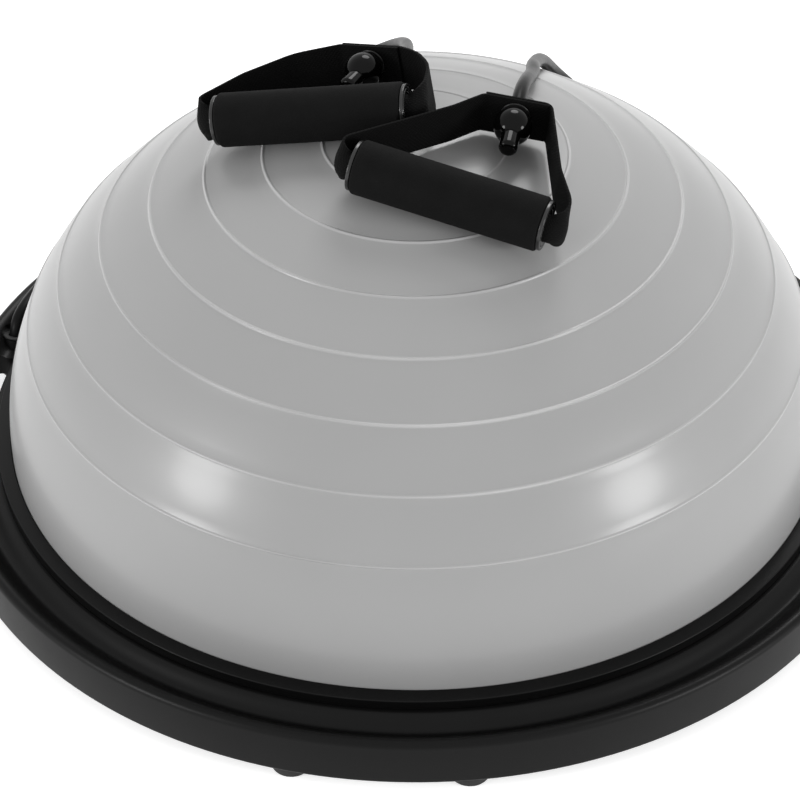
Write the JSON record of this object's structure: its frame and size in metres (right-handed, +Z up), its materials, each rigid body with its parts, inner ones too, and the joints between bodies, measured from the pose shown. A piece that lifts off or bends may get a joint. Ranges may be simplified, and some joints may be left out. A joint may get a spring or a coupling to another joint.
{
  "type": "half balance ball",
  "caption": "Inflated half dome on a round base with side finger slots and pull handles on resistance tubes, for balance and strength exercises.",
  "frame": {"origin": "on the floor under the middle of the round base", "axes": "+Z up through the dome's top, X through both finger slots, -Y towards the side where the handles' grips lie"},
  "size_m": [0.65, 0.65, 0.3178],
  "materials": {
    "dome_rubber": "smooth grey inflated rubber with a soft sheen",
    "base_plastic": "charcoal moulded plastic, satin",
    "plug_rubber": "matte dark rubber",
    "screw_steel": "plain zinc-plated steel",
    "foot_rubber": "matte black rubber",
    "stopper_plastic": "glossy black plastic",
    "tube_latex": "smooth dark grey latex with a strip of sheen",
    "webbing": "black woven nylon webbing",
    "eyelet_metal": "black enamelled metal",
    "core_plastic": "shiny black plastic",
    "foam": "matte black cellular foam"
  },
  "bodies": {
    "base": {"base_platform": "base_plastic", "dome_bladder": "dome_rubber", "retaining_ring": "base_plastic", "standing_plate": "base_plastic", "ring_screw_1": "screw_steel", "ring_screw_2": "screw_steel", "ring_screw_3": "screw_steel", "ring_screw_4": "screw_steel", "ring_screw_5": "screw_steel", "ring_screw_6": "screw_steel", "ring_screw_7": "screw_steel", "ring_screw_8": "screw_steel", "plate_screw_1": "screw_steel", "plate_screw_2": "screw_steel", "plate_screw_3": "screw_steel", "plate_screw_4": "screw_steel", "plate_screw_5": "screw_steel", "plate_screw_6": "screw_steel", "foot_1": "foot_rubber", "foot_2": "foot_rubber", "foot_3": "foot_rubber", "foot_4": "foot_rubber", "foot_5": "foot_rubber", "foot_6": "foot_rubber", "foot_7": "foot_rubber", "foot_8": "foot_rubber", "left_tube_bush": "foot_rubber", "right_tube_bush": "foot_rubber", "left_anchor_stopper": "stopper_plastic", "right_anchor_stopper": "stopper_plastic", "left_tube": "tube_latex", "right_tube": "tube_latex"},
    "plug": {"air_plug": "plug_rubber"},
    "left_handle": {"left_strap": "webbing", "left_strap_eyelet": "eyelet_metal", "left_handle_stopper": "stopper_plastic"},
    "left_grip": {"left_grip_core": "core_plastic", "left_foam_grip": "foam", "left_grip_cap_near": "core_plastic", "left_grip_cap_far": "core_plastic"},
    "right_handle": {"right_strap": "webbing", "right_strap_eyelet": "eyelet_metal", "right_handle_stopper": "stopper_plastic"},
    "right_grip": {"right_grip_core": "core_plastic", "right_foam_grip": "foam", "right_grip_cap_near": "core_plastic", "right_grip_cap_far": "core_plastic"}
  },
  "joints": [
    {"name": "left_handle_lift", "type": "hinge", "parent": "base", "child": "left_handle", "pos_m": [-0.02745, 0.10018, 0.2779], "axis": [-0.9785, 0.0983, -0.1811], "range_deg": [0, 90], "deforming": ["left_tube"]},
    {"name": "left_grip_spin", "type": "hinge", "parent": "left_handle", "child": "left_grip", "pos_m": [-0.06742, -0.00165, 0.28953], "axis": [0.9785, -0.0983, 0.1811], "continuous": true},
    {"name": "right_handle_lift", "type": "hinge", "parent": "base", "child": "right_handle", "pos_m": [0.07837, 0.06239, 0.28033], "axis": [-0.9574, 0.2568, 0.1321], "range_deg": [0, 90], "deforming": ["right_tube"]},
    {"name": "right_grip_spin", "type": "hinge", "parent": "right_handle", "child": "right_grip", "pos_m": [0.02766, -0.08078, 0.28572], "axis": [0.9574, -0.2568, -0.1321], "continuous": true},
    {"name": "air_plug_pull", "type": "slide", "parent": "base", "child": "plug", "axis": [0, 0, -1], "range_m": [0, 0.0138]}
  ]
}
